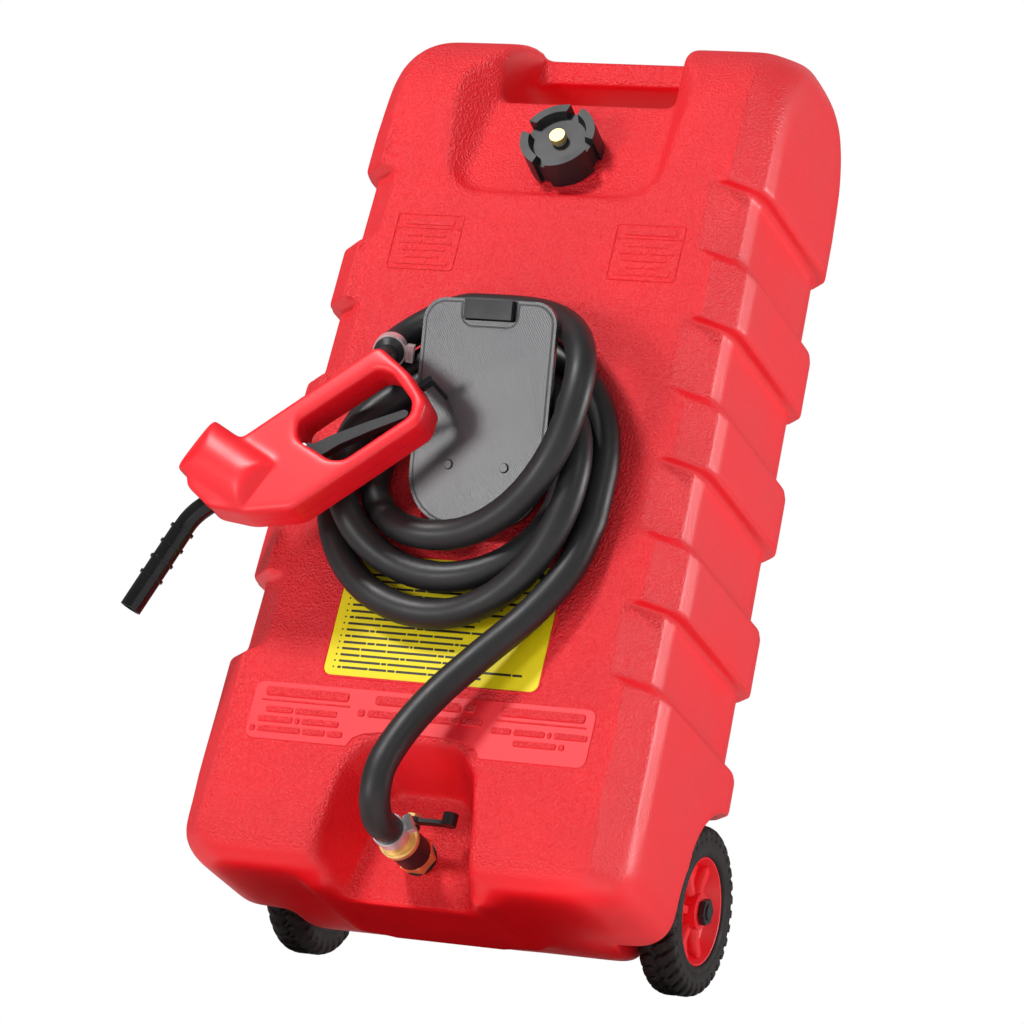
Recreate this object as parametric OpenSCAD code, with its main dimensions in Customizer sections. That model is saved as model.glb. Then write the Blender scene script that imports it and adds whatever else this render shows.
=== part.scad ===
// Fuel caddy: a hollow tank on two wheels with a hung hose, a ball valve and a hand nozzle.
// Millimetres. +X to the right, the front faces -Y, +Z up, the floor is z = 0.

/* [Tank] */
// Height of the tank above the floor
tank_h = 890; // [880:2:900]
// Half width of the tank sides at mid height, raised bands
side_half = 215; // [213:1:217]
// How far the recessed bands lie behind the raised ones
band_step = 13; // [8:1:14]
// Width of the folded strip beside the front face, recessed bands
strip_w = 48; // [47:1:51]
// Front face from the middle plane at mid height
front_y = 140; // [139:0.5:141]
// Back face from the middle plane at mid height
back_y = 120; // [119:0.5:122]
// Wall thickness
wall = 4; // [3.5:0.5:5]
// Radius of the upright rear edges
rear_r = 45; // [35:1:50]
// Clear height under the tank
foot_h = 10; // [8:0.5:12]
// Height of the frames raised on the front face
emboss = 2; // [1:0.5:3]

/* [Grip] */
// Underside of the grip bar below the top of the tank
grip_drop = 34; // [30:1:38]
// Height of the hand slot
slot_h = 49; // [44:1:52]
// Half length of the grip bar
grip_half = 86; // [80:1:88]
// Front of the grip bar from the middle plane
grip_front = 38; // [34:1:42]
// Back of the grip bar from the middle plane
grip_back = 30; // [24:1:34]

/* [Filler] */
// Cap diameter
cap_d = 74; // [70:1:78]
// Cap height
cap_h = 32; // [30:0.5:34]
// Outer diameter of the filler neck
neck_d = 56; // [52:1:58]
// Bore of the filler neck
neck_bore = 44; // [40:1:46]
// Diameter of the vent button
vent_d = 16; // [14:0.5:18]

/* [Hose holder] */
// Half width of the hose plate
plate_half = 67; // [62:1:67]
// Length of the hose plate
plate_len = 211; // [206:1:213]
// Thickness of the hose plate
plate_t = 6; // [5:0.5:7]
// Width of the latch block
latch_w = 48; // [44:1:50]

/* [Hose] */
// Hose outer diameter
hose_d = 28.4; // [26:0.2:28.4]

/* [Valve] */
// Height of the outlet above the floor
outlet_z = 47; // [46:0.5:48]
// Bore of the outlet
outlet_bore = 12; // [10:0.5:13]
// Valve body diameter
valve_d = 34; // [32:1:36]
// Valve ball radius
ball_r = 10; // [9.5:0.1:10.5]
// Length of the valve lever
lever_len = 42; // [36:1:46]

/* [Nozzle] */
// Thickness of one nozzle shell
shell_t = 20; // [18:0.5:21]
// Spout outer diameter
spout_d = 20.6; // [19:0.2:22]
// Spout bore
spout_bore = 16; // [14:0.2:16.4]
// Trigger width
trigger_w = 10; // [8:0.5:11]

/* [Wheels] */
// Wheel radius
wheel_r = 80; // [79:0.5:80]
// Tyre width
tyre_w = 38; // [34:1:40]
// Rim radius
rim_r = 51; // [48:1:54]
// How far the outer face of each wheel lies inside the tank side
wheel_in = 6; // [4:1:8]
// Axle diameter
axle_d = 12; // [11:0.5:13]
// Arch radius round the wheel
arch_r = 92; // [88:1:94]

/* [Hidden] */
$fn = 48;
// running fit between a shaft and its hole
run = 0.05;
// gap between pieces that move past each other
gap = 0.4;
// gap between fixed pieces that only meet at their seats
seat = 0.1;
grip_z = tank_h - grip_drop;
face_half = side_half - strip_w;
wheel_out = side_half - wheel_in;
mid_z = 450;
taper = 0.021;
front_tilt = atan(taper);
band_pitch = 142;
lip_top = tank_h - 176;
frame_z = tank_h - 254;
band_rise = 62;
fold_step = 17;
strip_rise = 3;
bottom_side_r = 32;
bottom_front_r = 30;
bottom_rear_r = 80;
top_r = 100;
top_side_r = 30;
wheel_y = 107;
wheel_z = wheel_r;
well_x = wheel_out - tyre_w - 6;
slot_back = back_y + 80;
slot_front = front_y - 65;
cap_tilt = 12;
cap_y = 28.4 - front_y;
cap_z = tank_h - 147;
pocket_r = 25;
pocket_flare = 0.9;
recess_y = 60 - front_y;
plate_x = 9;
plate_y = -front_y - 8.5;
plate_z = 350;
plate_slope = 0.33;
plate_low = -5;
plate_tilt = atan(plate_slope);
hub_half = 46;
hub_top = 88;
label_half = 107;
label_low = 193;
label_top = 314;
label_t = 0.8;
rim_w = tyre_w - 6;
wheel_x = wheel_out - tyre_w / 2;
nozzle_o = [-15, -front_y - 89, 414];
nozzle_turn = 139;

function inset(r, h) = h >= r ? 0 : r - sqrt(max(r * r - (r - h) * (r - h), 0));
function face_y(z) = -front_y + taper * (z - mid_z);
function rear_y(z) = back_y - taper * (z - mid_z);

// one level of the tank, g is the inward offset, w is 1 on raised bands, s is the strip rise
function half_ring(z, w, s, g) =
  let (hb = max(z - foot_h - g, 0), ht = max(tank_h - g - z, 0),
       si = inset(bottom_side_r - g, hb) + inset(top_side_r - g, ht) + g,
       fi = inset(bottom_front_r - g, hb) + inset(top_r - g, ht) + g,
       bi = inset(bottom_rear_r - g, hb) + inset(top_r - g, ht) + g,
       tp = taper * (mid_z - z),
       yf = face_y(z) + fi,
       yb = rear_y(z) - bi,
       d = yb - yf,
       xf = face_half + fold_step * w + tp - si,
       xc = side_half - band_step * (1 - w) + tp - si,
       yc = yf + min(31 - 3 * w, 0.34 * d),
       rr = min(rear_r - g, 0.4 * d))
  [[xf - 3, yf],
   [xf, yf + 0.5 - (strip_rise + 0.5) * s],
   [xc - 4, yc - 4],
   [xc, yc + 0.06 * d],
   [xc, yb - rr],
   [xc - rr * (1 - cos(30)), yb - rr * (1 - sin(30))],
   [xc - rr * (1 - cos(60)), yb - rr * (1 - sin(60))],
   [xc - rr, yb]];
function ring(z, w, s, g) =
  let (h = half_ring(z, w, s, g), n = len(h))
  concat([for (p = h) [p[0], p[1], z]], [for (i = [n - 1 : -1 : 0]) [-h[i][0], h[i][1], z]]);

// raised bands from the lowest to the highest, each with a sharp lip below and a ramp above
function band(z) = [[z, 0, 0], [z + 1.5, 1, 1], [z + band_rise, 1, 1], [z + band_rise + 10, 0, 0]];
outer_levels = concat(
  [for (h = [0, 2, 8, 18]) [foot_h + h, 1, 0]],
  [[foot_h + 30, 1, 1], [foot_h + 55, 1, 1], [foot_h + 80, 1, 1]],
  [[lip_top - 4 * band_pitch + band_rise, 1, 1], [lip_top - 4 * band_pitch + band_rise + 10, 0, 0]],
  band(lip_top - 3 * band_pitch), band(lip_top - 2 * band_pitch), band(lip_top - band_pitch),
  [[lip_top, 0, 0], [lip_top + 1.5, 1, 1]],
  [for (h = [top_r, 75, 50]) [tank_h - h, 1, 1]],
  [for (h = [30, 15, 6, 2, 0]) [tank_h - h, 1, 0]]);
inner_levels = concat(
  [for (h = [0, 2, 8, 20, 45, 75]) [foot_h + wall + h, 0, 0]],
  [for (h = [95, 70, 45, 25, 11, 3, 0]) [tank_h - wall - h, 0, 0]]);

module loft(levels, g) {
  rings = [for (l = levels) ring(l[0], l[1], l[2], g)];
  n = len(rings[0]);
  m = len(rings);
  polyhedron(
    points = [for (r = rings, p = r) p],
    faces = concat(
      [[for (j = [0 : n - 1]) j]],
      [for (i = [0 : m - 2], j = [0 : n - 1], k = [0, 1])
        let (a = i * n + j, b = i * n + (j + 1) % n)
        k == 0 ? [a, a + n, b + n] : [a, b + n, b]],
      [[for (j = [n - 1 : -1 : 0]) (m - 1) * n + j]]));
}

// frames for pieces that sit on the tank
module at_cap() translate([0, cap_y, cap_z]) rotate([90 - cap_tilt, 0, 0]) children();
module at_plate() translate([plate_x, plate_y, plate_z]) rotate([90 + plate_tilt, 0, 0]) children();
module at_outlet() translate([0, recess_y, outlet_z]) rotate([90, 0, 0]) children();
module at_front(z) translate([0, face_y(z), z]) rotate([90 - front_tilt, 0, 0]) children();
module at_wheel(s) translate([s * wheel_out, wheel_y, wheel_z]) rotate([0, s * -90, 0]) children();
module at_nozzle() translate(nozzle_o) rotate([0, nozzle_turn, 0]) rotate([-90, 0, 0]) children();
module round_rect(w, h, r) {
  translate([-w / 2 + r, -h / 2]) square([w - 2 * r, h]);
  translate([-w / 2, -h / 2 + r]) square([w, h - 2 * r]);
  for (x = [-1, 1], y = [-1, 1])
    translate([x * (w / 2 - r), y * (h / 2 - r)]) circle(r);
}

// hollows in the tank, grown by g where the inner wall follows them
module pocket(g) at_cap() hull() for (s = [-1, 1], p = [[71, -20], [66, 70]])
  translate([s * p[0], p[1], -g])
    cylinder(h = 60 + g, r1 = pocket_r + g, r2 = pocket_r + g + pocket_flare * (60 + g));
module top_cut(g) translate([0, 0, grip_z - slot_h - g]) linear_extrude(tank_h - grip_z + slot_h + 50)
  polygon([[80 + g, -grip_front + g], [91 + g, -98 + g], [122 + g, -145], [130 + g, -200],
           [-130 - g, -200], [-122 - g, -145], [-91 - g, -98 + g], [-80 - g, -grip_front + g]]);
module hand_slot(g) translate([0, slot_back, grip_z - slot_h / 2]) rotate([90, 0, 0])
  linear_extrude(slot_back + slot_front) round_rect(2 * grip_half + 2 * g, slot_h + 2 * g, 20);
module rear_notch(g) translate([-grip_half - g, grip_back - g, grip_z - slot_h / 2])
  cube([2 * grip_half + 2 * g, 200, 200]);
module bar_relief() translate([-grip_half, -grip_front - 1, tank_h - 7])
  cube([2 * grip_half, slot_back + grip_front + 1, 20]);
module recess(g) hull() {
  translate([0, -170, 0]) rotate([90, 0, 0]) linear_extrude(0.1)
    polygon([[-88 - g, -20], [88 + g, -20], [72 + g, 120], [48 + g, 147 + g],
             [-48 - g, 147 + g], [-72 - g, 120]]);
  translate([0, recess_y + g, 0]) rotate([90, 0, 0]) linear_extrude(0.1)
    polygon([[-66 - g, -20], [66 + g, -20], [44 + g, 92], [32 + g, 105 + g],
             [-32 - g, 105 + g], [-44 - g, 92]]);
}
module arch(s, g) {
  translate([s * (well_x - g), wheel_y, wheel_z]) rotate([0, s * 90, 0]) cylinder(h = 100, r = arch_r + g);
  from = s > 0 ? well_x - g : -well_x + g - 100;
  translate([from, wheel_y, -20]) cube([100, 120, wheel_z + arch_r + g + 20]);
  translate([from, wheel_y - arch_r - g, -20]) cube([100, 200, wheel_z + 20]);
}
module axle_rod(r, l) translate([-l, wheel_y, wheel_z]) rotate([0, 90, 0]) cylinder(h = 2 * l, r = r);
module cavity() difference() {
  loft(inner_levels, wall);
  pocket(wall);
  translate([-grip_half - 20, -200, grip_z - slot_h - wall]) cube([2 * grip_half + 40, 400, 200]);
  recess(wall);
  for (s = [-1, 1]) arch(s, wall);
  axle_rod(axle_d / 2 + wall, 230);
  screw_bosses();
}
module screw_bosses() for (s = [-1, 1]) at_plate() translate([s * 28, 52, -45]) cylinder(h = 30, r = 7);
module frame_rim(w, h, z) at_front(z) translate([0, 0, -2]) linear_extrude(2 + emboss) difference() {
  square([w, h], center = true);
  square([w - 6, h - 6], center = true);
}
module bars(w, n, pitch, z) at_front(z) translate([0, 0, -2]) linear_extrude(2 + emboss / 2)
  for (i = [0 : n - 1]) translate([0, (i - (n - 1) / 2) * pitch]) square([w, 5], center = true);

module tank() color([0.72, 0.05, 0.04]) difference() {
  union() {
    difference() {
      loft(outer_levels, 0);
      pocket(0);
      top_cut(0);
      hand_slot(0);
      rear_notch(0);
      bar_relief();
    }
    at_cap() translate([0, 0, -8]) cylinder(h = 8 + neck_top, r = neck_d / 2);
    translate([hub_half, 0, 0]) rotate([0, -90, 0]) linear_extrude(2 * hub_half)
      polygon([[plate_z - 4, face_y(plate_z) + 6], [plate_z + 3, plate_y - plate_slope * 3],
               [plate_z + hub_top, plate_y - plate_slope * hub_top],
               [plate_z + hub_top, face_y(plate_z) + 8]]);
    translate([0, 30, 0]) rotate([90, 0, 0]) linear_extrude(140)
      polygon([[-95, 0], [95, 0], [104, foot_h + 6], [-104, foot_h + 6]]);
    for (s = [-1, 1]) translate([s * 113, 0, 0]) {
      frame_rim(70, 59, frame_z);
      bars(50, 2, 20, frame_z);
    }
    frame_rim(340, 57, 153);
    bars(300, 2, 20, 153);
  }
  cavity();
  recess(0);
  for (s = [-1, 1]) arch(s, 0);
  axle_rod(axle_d / 2 + run, 230);
  at_cap() translate([0, 0, -40]) cylinder(h = 80, r = neck_bore / 2);
  at_outlet() translate([0, 0, -30]) cylinder(h = 31, r = outlet_stub + seat);
  at_front((label_low + label_top) / 2) translate([0, 0, -label_t]) linear_extrude(5)
    round_rect(2 * label_half + 1, label_top - label_low + 1, 8);
  for (s = [-1, 1]) at_plate() translate([s * 28, 52, -14]) cylinder(h = 20, r = 2.5 + seat);
}
module label() color([0.93, 0.8, 0.1])
  at_front((label_low + label_top) / 2) translate([0, 0, -label_t]) linear_extrude(label_t)
    round_rect(2 * label_half, label_top - label_low, 8);

// filler cap: cup with four notches that run down its side as grooves, gasket, spring loaded vent stem
cap_lift = 1;
cap_top = cap_lift + cap_h;
dish = 9;
dish_z = cap_top - dish;
notch_w = 13;
notch_turn = 75;
groove = 4;
neck_top = 17;
gasket_t = 1.6;
cap_ceiling = neck_top + gap + gasket_t + seat;
vent_r = 4;
vent_travel = 2;
vent_seat = 2.5;
vent_head = dish_z + vent_travel + gap;
module filler_cap() color([0.05, 0.05, 0.05]) at_cap() difference() {
  translate([0, 0, cap_lift]) cylinder(h = cap_h, r = cap_d / 2);
  translate([0, 0, dish_z]) cylinder(h = dish + 1, r1 = cap_d / 2 - 11, r2 = cap_d / 2 - 8);
  translate([0, 0, dish_z - vent_seat]) cylinder(h = vent_seat + 1, r = vent_d / 2 - 0.4);
  translate([0, 0, cap_lift - 1]) cylinder(h = cap_ceiling - cap_lift + 1, r = neck_d / 2 + gap);
  for (i = [0 : 3]) rotate([0, 0, notch_turn + 90 * i]) {
    translate([cap_d / 2 - 13, -notch_w / 2, dish_z]) cube([20, notch_w, dish + 1]);
    translate([cap_d / 2 - groove, -notch_w / 2, cap_lift - 1]) cube([20, notch_w, cap_h + 2]);
  }
  translate([0, 0, cap_lift]) cylinder(h = cap_h, r = vent_r + run);
}
module cap_gasket() color([0.15, 0.15, 0.15]) at_cap() translate([0, 0, neck_top + gap]) difference() {
  cylinder(h = gasket_t, r = neck_d / 2);
  translate([0, 0, -1]) cylinder(h = gasket_t + 2, r = neck_bore / 2);
}
module vent_stem() color([0.75, 0.6, 0.25]) at_cap() {
  translate([0, 0, cap_ceiling - 2 - seat]) cylinder(h = vent_head - cap_ceiling + 3, r = vent_r);
  translate([0, 0, vent_head]) cylinder(h = 7, r = vent_d / 2);
  translate([0, 0, cap_ceiling - 2 - seat]) cylinder(h = 2, r = vent_r + 3);
}
module vent_spring() color([0.7, 0.7, 0.72]) at_cap()
  translate([0, 0, dish_z - vent_seat + 0.45]) spring(6, 0.35, 2, vent_seat + gap - 1);

// spring wire swept round a helix, flat ends left open to the seats
function helix(r, n, h, i, c) = let (a = 360 * n * i / c) [r * cos(a), r * sin(a), h * i / c];
module spring(r, wire, n, h) {
  c = 12 * n;
  tube([for (i = [0 : c]) helix(r, n, h, i, c)], wire, 6, [0, 0, 1]);
}

// tube of sides around a route, up is a direction that the route never follows
function unit(v) = v / norm(v);
function along(p, i) = unit(p[min(i + 1, len(p) - 1)] - p[max(i - 1, 0)]);
module tube(p, r, sides, up) {
  m = len(p);
  pts = [for (i = [0 : m - 1])
    let (t = along(p, i), a = unit(cross(t, up)), b = cross(t, a))
    for (j = [0 : sides - 1]) p[i] + r * (cos(360 * j / sides) * a + sin(360 * j / sides) * b)];
  polyhedron(points = pts, faces = concat(
    [[for (j = [0 : sides - 1]) j]],
    [for (i = [0 : m - 2], j = [0 : sides - 1], k = [0, 1])
      let (q = i * sides + j, n = i * sides + (j + 1) % sides)
      k == 0 ? [q, n + sides, n] : [q, q + sides, n + sides]],
    [[for (j = [sides - 1 : -1 : 0]) (m - 1) * sides + j]]));
}

// hose holder
latch_s = plate_len + plate_low;
notch_h = 20;
latch_travel = 3;
module plate_shape(g) translate([0, plate_low + plate_len / 2]) intersection() {
  round_rect(2 * plate_half - 2 * g, plate_len - 2 * g, 22 - g);
  translate([0, 60]) round_rect(2 * plate_half - 2 * g, plate_len + 120 - 2 * g, 48 - g);
}
module hose_plate() color([0.06, 0.06, 0.06]) at_plate() {
  difference() {
    linear_extrude(plate_t) difference() {
      plate_shape(0);
      translate([-latch_w / 2 - 1, latch_s - notch_h]) square([latch_w + 2, notch_h + 5]);
    }
    for (s = [-1, 1]) translate([s * 28, 52, -1]) cylinder(h = plate_t + 2, r = 2.5 + seat);
    translate([0, 0, plate_t - 1.2]) linear_extrude(5) difference() {
      plate_shape(7);
      plate_shape(9);
      translate([-latch_w / 2 - 9, latch_s - notch_h - 9]) square([latch_w + 18, 50]);
    }
  }
  difference() {
    translate([-latch_w / 2 - 7, latch_s - notch_h - 6, -11]) cube([latch_w + 14, notch_h + 4, 3]);
    translate([0, latch_s - notch_h / 2, -12]) cylinder(h = 5, r = 4 + run);
  }
  for (s = [-1, 1]) translate([s * (latch_w / 2 + 4) - 3, latch_s - notch_h - 6, -8])
    cube([6, notch_h + 4, 8]);
}
module plate_latch() color([0.05, 0.05, 0.05]) at_plate() {
  translate([-latch_w / 2, latch_s - notch_h + 1, 0]) cube([latch_w, notch_h - 2, plate_t + 7]);
  translate([0, latch_s - notch_h / 2, -14]) cylinder(h = 15, r = 4);
}
module latch_spring() color([0.7, 0.7, 0.72]) at_plate()
  translate([0, latch_s - notch_h / 2, -7]) spring(6, 0.5, 2, 8 - latch_travel - 2.4);
module plate_screws() color([0.6, 0.6, 0.62]) at_plate() for (s = [-1, 1]) translate([s * 28, 52, 0]) {
  translate([0, 0, -13]) cylinder(h = 13 + plate_t, r = 2.5);
  translate([0, 0, plate_t]) cylinder(h = 2.4, r1 = 5, r2 = 4);
}

// outlet valve, along -Y from the back wall of the recess
outlet_stub = 10;
gasket_h = 2;
hex_top = 16;
body_top = 48;
collar_top = 54;
barb_flange = 58;
barb_top = 78;
ball_z = (hex_top + body_top) / 2;
stem_r = 4;
lever_z = valve_d / 2 + 6;
hose_end = recess_y - barb_top;
module outlet_gasket() color([0.1, 0.1, 0.1]) at_outlet() difference() {
  cylinder(h = gasket_h, r = 17);
  translate([0, 0, -1]) cylinder(h = gasket_h + 2, r = outlet_stub + seat);
}
module outlet_fitting() color([0.78, 0.62, 0.25]) at_outlet() difference() {
  union() {
    translate([0, 0, gasket_h]) cylinder(h = hex_top - gasket_h, r = 18, $fn = 6);
    translate([0, 0, -12]) cylinder(h = 16, r = outlet_stub);
  }
  translate([0, 0, -13]) cylinder(h = 40, r = outlet_bore / 2);
}
module valve_body() color([0.05, 0.05, 0.05]) at_outlet() difference() {
  union() {
    translate([0, 0, hex_top]) cylinder(h = body_top - hex_top, r = valve_d / 2);
    translate([0, 0, ball_z]) rotate([-90, 0, 0]) cylinder(h = lever_z - 3, r = 8);
  }
  translate([0, 0, hex_top + 4]) cylinder(h = body_top - hex_top - 8, r = ball_r + 2);
  translate([0, 0, hex_top - 1]) cylinder(h = body_top - hex_top + 2, r = outlet_bore / 2);
  translate([0, 0, ball_z]) rotate([-90, 0, 0]) cylinder(h = 40, r = stem_r + run);
}
module valve_seats() color([0.9, 0.9, 0.88]) at_outlet() difference() {
  for (z = [hex_top + 4, body_top - 4 - 6]) translate([0, 0, z]) difference() {
    cylinder(h = 6, r = ball_r + 2 - seat);
    translate([0, 0, -1]) cylinder(h = 8, r = outlet_bore / 2);
  }
  translate([0, 0, ball_z]) sphere(r = ball_r + run);
}
module valve_ball() color([0.85, 0.85, 0.86]) at_outlet() translate([0, 0, ball_z]) difference() {
  rotate([0, 90, 0]) rotate_extrude() intersection() {
    circle(ball_r);
    translate([outlet_bore / 2 - 0.5, -20]) square([20, 40]);
  }
  translate([-3.2, ball_r - 3, -2]) cube([6.4, 10, 4]);
}
module valve_stem() color([0.8, 0.65, 0.3]) at_outlet() translate([0, 0, ball_z]) {
  rotate([-90, 0, 0]) translate([0, 0, ball_r + 0.2]) cylinder(h = lever_z + 8 - ball_r, r = stem_r);
  translate([-3, ball_r - 2.8, -2 + seat]) cube([6, 4, 4 - 2 * seat]);
}
module at_stem(h) translate([0, recess_y - ball_z, outlet_z + lever_z + h]) children();
module valve_lever() color([0.05, 0.05, 0.05]) at_stem(0) difference() {
  union() {
    cylinder(h = 4, r = 9);
    translate([0, -5, 0]) cube([lever_len - 6, 10, 4]);
    translate([lever_len - 6, 0, 0]) cylinder(h = 12, r = 7);
  }
  translate([0, 0, -1]) cylinder(h = 6, r = stem_r + run);
}
module lever_nut() color([0.8, 0.65, 0.3]) at_stem(4) difference() {
  cylinder(h = 3.5, r = 7, $fn = 6);
  translate([0, 0, -1]) cylinder(h = 6, r = stem_r + run);
}
module valve_collar() color([0.78, 0.62, 0.25]) at_outlet() translate([0, 0, body_top]) difference() {
  cylinder(h = collar_top - body_top, r = valve_d / 2 + 2);
  translate([0, 0, -1]) cylinder(h = 20, r = outlet_bore / 2);
}
module hose_barb() color([0.78, 0.62, 0.25]) at_outlet() difference() {
  union() {
    translate([0, 0, collar_top]) cylinder(h = barb_flange - collar_top, r = hose_d / 2 + 2);
    translate([0, 0, barb_flange]) cylinder(h = barb_top - barb_flange, r = hose_d / 2);
  }
  translate([0, 0, collar_top - 1]) cylinder(h = 40, r = outlet_bore / 2);
}
module band_clamp() {
  difference() {
    cylinder(h = 12, r = hose_d / 2 + 1.6);
    translate([0, 0, -1]) cylinder(h = 14, r = hose_d / 2);
  }
  translate([-8, hose_d / 2 + 1.2, 2]) cube([16, 7, 8]);
}
module hose_clamp_valve() color([0.75, 0.75, 0.77]) at_outlet() translate([0, 0, barb_flange + 8])
  rotate([0, 0, -60]) band_clamp();

// hose: the hung loops go from top to right, bottom, left and round again, from the nozzle to the valve
// places are given as x, the distance in front of the face at mid height, and z
function hung(p) = [p[0], -front_y - p[1], p[2]];
stations = [for (p = [[-4, 13, 563], [114, 81, 460], [-15, 36, 325], [-95.5, 16, 392], [2, 15, 464],
                      [95, 17, 388], [-8, 22, 290], [-117.5, 47, 386], [3.5, 16, 497], [114, 45.5, 389],
                      [-9, 20, 254], [-135.5, 17, 382], [5, 14, 530.5], [128, 17, 404]]) hung(p)];
lead_from = hung([-93.5, 50, 502]);
lead_way = [-0.22, 0.74, 0.635];
tail_route = concat(
  [for (p = [[128, 17, 404], [128, 17, 372], [127, 18, 348], [118, 21, 306], [92, 26, 259], [58, 34, 214],
             [29, 43, 172], [11, 55, 131], [2, 66, 92], [1, 63, 63], [0, 45, 48]]) hung(p)],
  [[0, hose_end - 5, outlet_z], [0, hose_end + 24, outlet_z]]);
function ease(f) = f * f * (3 - 2 * f);
function quarter(a, b, side, f) = side
  ? [b[0] + (a[0] - b[0]) * cos(90 * f), a[1] + (b[1] - a[1]) * ease(f), a[2] + (b[2] - a[2]) * sin(90 * f)]
  : [a[0] + (b[0] - a[0]) * sin(90 * f), a[1] + (b[1] - a[1]) * ease(f), b[2] + (a[2] - b[2]) * cos(90 * f)];
coil_last = len(stations) - 1;
coil_start = stations[0] - [28.4, 0, 0];
coil_end = stations[coil_last] - [0, 0, 28.4];
coil_route = concat([coil_start],
  [for (i = [0 : coil_last - 1], k = [0 : 5]) quarter(stations[i], stations[i + 1], i % 2 == 1, k / 6)],
  [stations[coil_last], coil_end]);
function hermite(a, b, ta, tb, f) = (2 * f * f * f - 3 * f * f + 1) * a + (f * f * f - 2 * f * f + f) * ta
  + (3 * f * f - 2 * f * f * f) * b + (f * f * f - f * f) * tb;
lead_points = concat([lead_from],
  [for (k = [0 : 8])
    hermite(lead_from + 5 * lead_way, coil_start - [5, 0, 0], 80 * lead_way, [75, 0, 0], k / 8)],
  [coil_start]);
tail_points = concat([coil_end],
  [for (i = [1 : len(tail_route) - 3], k = [0 : 2])
    hermite(tail_route[i], tail_route[i + 1], (tail_route[i + 1] - tail_route[i - 1]) / 2,
            (tail_route[i + 2] - tail_route[i]) / 2, k / 3)],
  [tail_route[len(tail_route) - 2], [0, hose_end, outlet_z]]);
module hose_coil() color([0.04, 0.04, 0.04]) tube(coil_route, hose_d / 2, 6, [0, 1, 0]);
module hose_lead() color([0.04, 0.04, 0.04]) tube(lead_points, hose_d / 2, 10, [0, -0.6, 0.8]);
module hose_tail() color([0.04, 0.04, 0.04]) tube(tail_points, hose_d / 2, 10, [1, 0, 0]);

// least gap between loops that lie more than four diameters apart along the hose
all_points = concat(lead_points, coil_route, tail_points);
function run_to(p) = [for (i = 0, s = 0; i < len(p);
  s = s + (i + 1 < len(p) ? norm(p[i + 1] - p[i]) : 0), i = i + 1) s];
all_run = run_to(all_points);
echo(hose_length = all_run[len(all_run) - 1]);
echo(least_hose_gap = min([for (i = [0 : len(all_points) - 1], j = [i + 1 : 1 : len(all_points) - 1])
  if (all_run[j] - all_run[i] > 4 * hose_d) norm(all_points[i] - all_points[j])]) - hose_d);

// nozzle: u runs to the spout, v to the grip, w to the tank
casing_points = [[-6, 12], [10, -4], [150, -4], [192, 22], [217, 50], [226, 90], [150, 92], [5, 92],
                 [-6, 48]];
guard_points = [[5, 22], [13, 10], [86, 10], [97, 18], [113, 56], [104, 72], [18, 71], [8, 58]];
trigger_points = [[114, 38], [114, 52], [86, 47], [50, 37], [16, 26], [14, 21], [18, 18], [52, 27], [84, 34],
                  [102, 35]];
screw_spots = [[0, 30], [60, 3], [168, 20], [120.5, 65]];
casing_r = 9;
guard_r = 7;
lever_r = 2.5;
block_at = [182, 74];
block_turn = 22;
block_w = 57;
block_len = 85;
block_rise = 13;
barrel_r = (block_w * block_w / 4 + block_rise * block_rise) / (2 * block_rise);
half_from = [-50, -50];
pivot = [112, 47];
stem_u = 140;
half_box = [3 * stem_u, 2 * stem_u, 3 * shell_t];
valve_v = 62;
port_v = 74;
inlet_v = 83;
inlet_u = 14;
arm_low = 42;
arm_t = 5;
arm_over = 6;
arm_hole = 3.4;
arm_shift = 0.7;
knuckle_r = 8;
poppet_r = 1.6;
pin_r = 3;
valve_r = 12;
valve_len = 20;
head_z = 15;
head_t = 3;
foot_r = 4.5;
foot_t = 4;
shell_screw_len = 31;
trigger_range = 12;
module soft_shape(p, r) offset(r = r) offset(delta = -r) polygon(p);
module casing_shape() difference() {
  soft_shape(casing_points, casing_r);
  soft_shape(guard_points, guard_r);
}
module barrel() translate([block_at[0], block_at[1], 0]) rotate([0, 0, -block_turn])
  translate([0, block_len / 2, 0]) rotate([90, 0, 0]) linear_extrude(block_len) for (s = [-1, 1])
    intersection() {
      translate([0, s * (shell_t + block_rise - barrel_r)]) circle(barrel_r);
      translate([-block_w / 2, s > 0 ? 0 : -half_box[2]]) square([block_w, half_box[2]]);
    }
module shell_hollows() {
  translate([stem_u, 48, 0]) rotate([-90, 0, 0]) cylinder(h = valve_len + 20, r = valve_r);
  translate([inlet_u, inlet_v, 0]) rotate([0, 90, 0]) cylinder(h = stem_u - inlet_u, r = 6);
  translate([stem_u, port_v, 0]) rotate([0, 90, 0]) cylinder(h = 46, r = 7);
  translate([spout_from[0] - 12, spout_from[1], 0]) rotate([0, 90, 0])
    cylinder(h = 80, r = spout_d / 2 + seat);
  translate([nut_u - seat, spout_from[1], 0]) rotate([0, 90, 0])
    cylinder(h = nut_len + 2 * seat, r = spout_d / 2 + 3 + seat);
  translate([pivot[0], pivot[1], -trigger_w / 2 - gap]) cylinder(h = trigger_w + 2 * gap, r = 12);
  translate([84, 22, -trigger_w / 2 - gap]) cube([70, 34, trigger_w + 2 * gap]);
  translate([pivot[0], pivot[1], -shell_t + 4]) cylinder(h = 2 * shell_t - 8, r = pin_r);
  for (p = screw_spots) translate([p[0], p[1], shell_t - shell_screw_len - 1])
    cylinder(h = shell_screw_len + 3, r = 1.6 + seat);
}
module nozzle_half(s) intersection() {
  difference() {
    union() {
      translate([0, 0, -shell_t]) linear_extrude(2 * shell_t) casing_shape();
      barrel();
    }
    shell_hollows();
  }
  translate([half_from[0], half_from[1], s > 0 ? 0 : -half_box[2]]) cube(half_box);
}
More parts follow.
